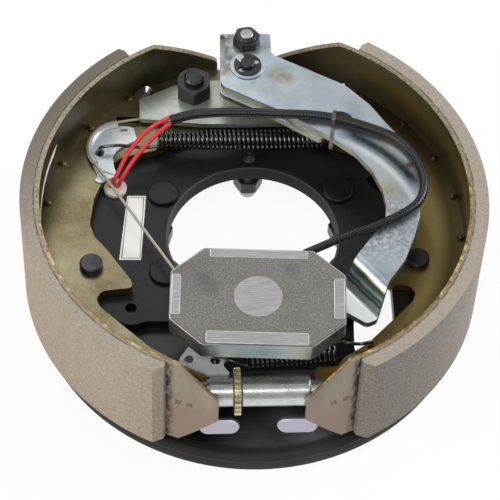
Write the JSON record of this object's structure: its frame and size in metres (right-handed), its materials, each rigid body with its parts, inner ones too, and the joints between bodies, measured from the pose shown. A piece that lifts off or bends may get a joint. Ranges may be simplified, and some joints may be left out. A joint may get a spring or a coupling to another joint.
{
  "type": "electric brake assembly",
  "caption": "Electric drum brake with two lined shoes on a dished plate, a magnet on a swinging arm and a cable self-adjuster.",
  "frame": {"origin": "on the hub axis, at the level of the backing plate's turned edge, which it rests on", "axes": "+Z out of the open side along the hub axis, +Y towards the anchor post, +X across the shoes, towards the shoe without the cable guide"},
  "size_m": [0.3104, 0.298, 0.1101],
  "materials": {
    "plate_black": "semi-gloss black paint",
    "spider_black": "satin black paint",
    "fastener_black": "black oxide",
    "zinc": "bright zinc plate",
    "steel": "plain bright steel",
    "shoe_olive": "olive-khaki lacquer on steel",
    "lining": "grey-taupe friction lining",
    "magnet_compound": "grey moulded friction compound",
    "pole_steel": "ground pole steel",
    "copper": "enamelled copper winding",
    "spring_black": "gloss black paint on spring wire",
    "lead_red": "red lead insulation",
    "sleeve_black": "black braided sleeve",
    "grommet_cream": "cream rubber",
    "cable_ivory": "ivory coated cable",
    "adjuster_zinc": "grey zinc plate"
  },
  "bodies": {
    "base": {"backing_plate": "plate_black", "spider": "spider_black", "spider_rivets": "spider_black", "mounting_studs": "steel", "mounting_nuts": "fastener_black", "anchor_studs": "fastener_black", "anchor_nuts": "fastener_black", "guide_plate": "zinc", "anchor_post": "fastener_black", "post_spacer": "zinc", "pivot_washer": "zinc", "pivot_clip": "fastener_black", "wire_grommet": "grommet_cream", "lead_wires": "lead_red", "lead_tail_a": "lead_red", "lead_tail_b": "lead_red", "left_hold_pin": "fastener_black", "left_hold_spring": "steel", "left_hold_cup": "fastener_black", "right_hold_pin": "fastener_black", "right_hold_spring": "steel", "right_hold_cup": "fastener_black", "cable_eye": "zinc"},
    "arm": {"magnet_arm": "zinc", "arm_doubler": "zinc", "toggle_bolt": "steel", "toggle_nut": "fastener_black", "toggle_sleeve": "steel", "lead_clip": "zinc", "lead_sleeve": "sleeve_black", "magnet_spring": "steel"},
    "magnet": {"magnet_housing": "zinc", "pole_frame": "pole_steel", "magnet_core": "pole_steel", "magnet_face": "magnet_compound", "magnet_coil": "copper", "magnet_stud": "steel", "magnet_clip": "zinc"},
    "left_shoe": {"left_shoe_table": "shoe_olive", "left_web": "shoe_olive", "left_lining": "lining", "cable_guide": "zinc", "adjuster_cable": "cable_ivory", "upper_spring": "spring_black", "lower_spring": "spring_black"},
    "lever": {"adjuster_lever": "zinc", "lever_pivot": "zinc", "lever_clip": "fastener_black", "cable_hook": "steel"},
    "right_shoe": {"right_shoe_table": "shoe_olive", "right_web": "shoe_olive", "right_lining": "lining"},
    "socket": {"adjuster_socket": "adjuster_zinc"},
    "star": {"star_wheel": "adjuster_zinc"},
    "tube": {"adjuster_tube": "adjuster_zinc"}
  },
  "joints": [
    {"name": "arm_swing", "type": "hinge", "parent": "base", "child": "arm", "pos_m": [0, 0.115, 0.0975], "axis": [0, 0, 1], "range_deg": [-4.5, 4.5], "deforming": ["lead_wires", "lead_sleeve"]},
    {"name": "magnet_float", "type": "slide", "parent": "arm", "child": "magnet", "axis": [0, 0, -1], "range_m": [0, 0.003], "stiffness_N_per_m": 4000, "springref_m": -0.006, "deforming": ["magnet_spring"]},
    {"name": "left_shoe_hinge", "type": "hinge", "parent": "base", "child": "left_shoe", "pos_m": [0, 0.115, 0.06315], "axis": [0, 0, -1], "range_deg": [0, 0.706], "deforming": ["upper_spring", "lower_spring", "adjuster_cable"]},
    {"name": "right_shoe_hinge", "type": "hinge", "parent": "base", "child": "right_shoe", "pos_m": [0, 0.115, 0.06315], "axis": [0, 0, 1], "range_deg": [0, 0.707]},
    {"name": "lever_pivot", "type": "hinge", "parent": "left_shoe", "child": "lever", "pos_m": [-0.046, -0.106, 0.06315], "axis": [0, 0, 1], "range_deg": [0, 5], "stiffness_Nm_per_rad": 0.5, "springref_deg": -11.46},
    {"name": "socket_slide", "type": "slide", "parent": "base", "child": "socket", "axis": [-1, 0, 0], "range_m": [0, 0.003]},
    {"name": "tube_slide", "type": "slide", "parent": "base", "child": "tube", "axis": [1, 0, 0], "range_m": [0, 0.003]},
    {"name": "star_turn", "type": "hinge", "parent": "socket", "child": "star", "pos_m": [-0.0155, -0.1277, 0.06315], "axis": [1, 0, 0], "range_deg": [0, 1440]}
  ],
  "couplings": [
    {"joint": "right_shoe_hinge", "follows": "left_shoe_hinge", "ratio": 1},
    {"joint": "socket_slide", "follows": "left_shoe_hinge", "m_per_rad": 0.2427},
    {"joint": "tube_slide", "follows": "left_shoe_hinge", "m_per_rad": 0.2427},
    {"joint": "star_turn", "follows": "left_shoe_hinge", "ratio": 2039.5}
  ]
}
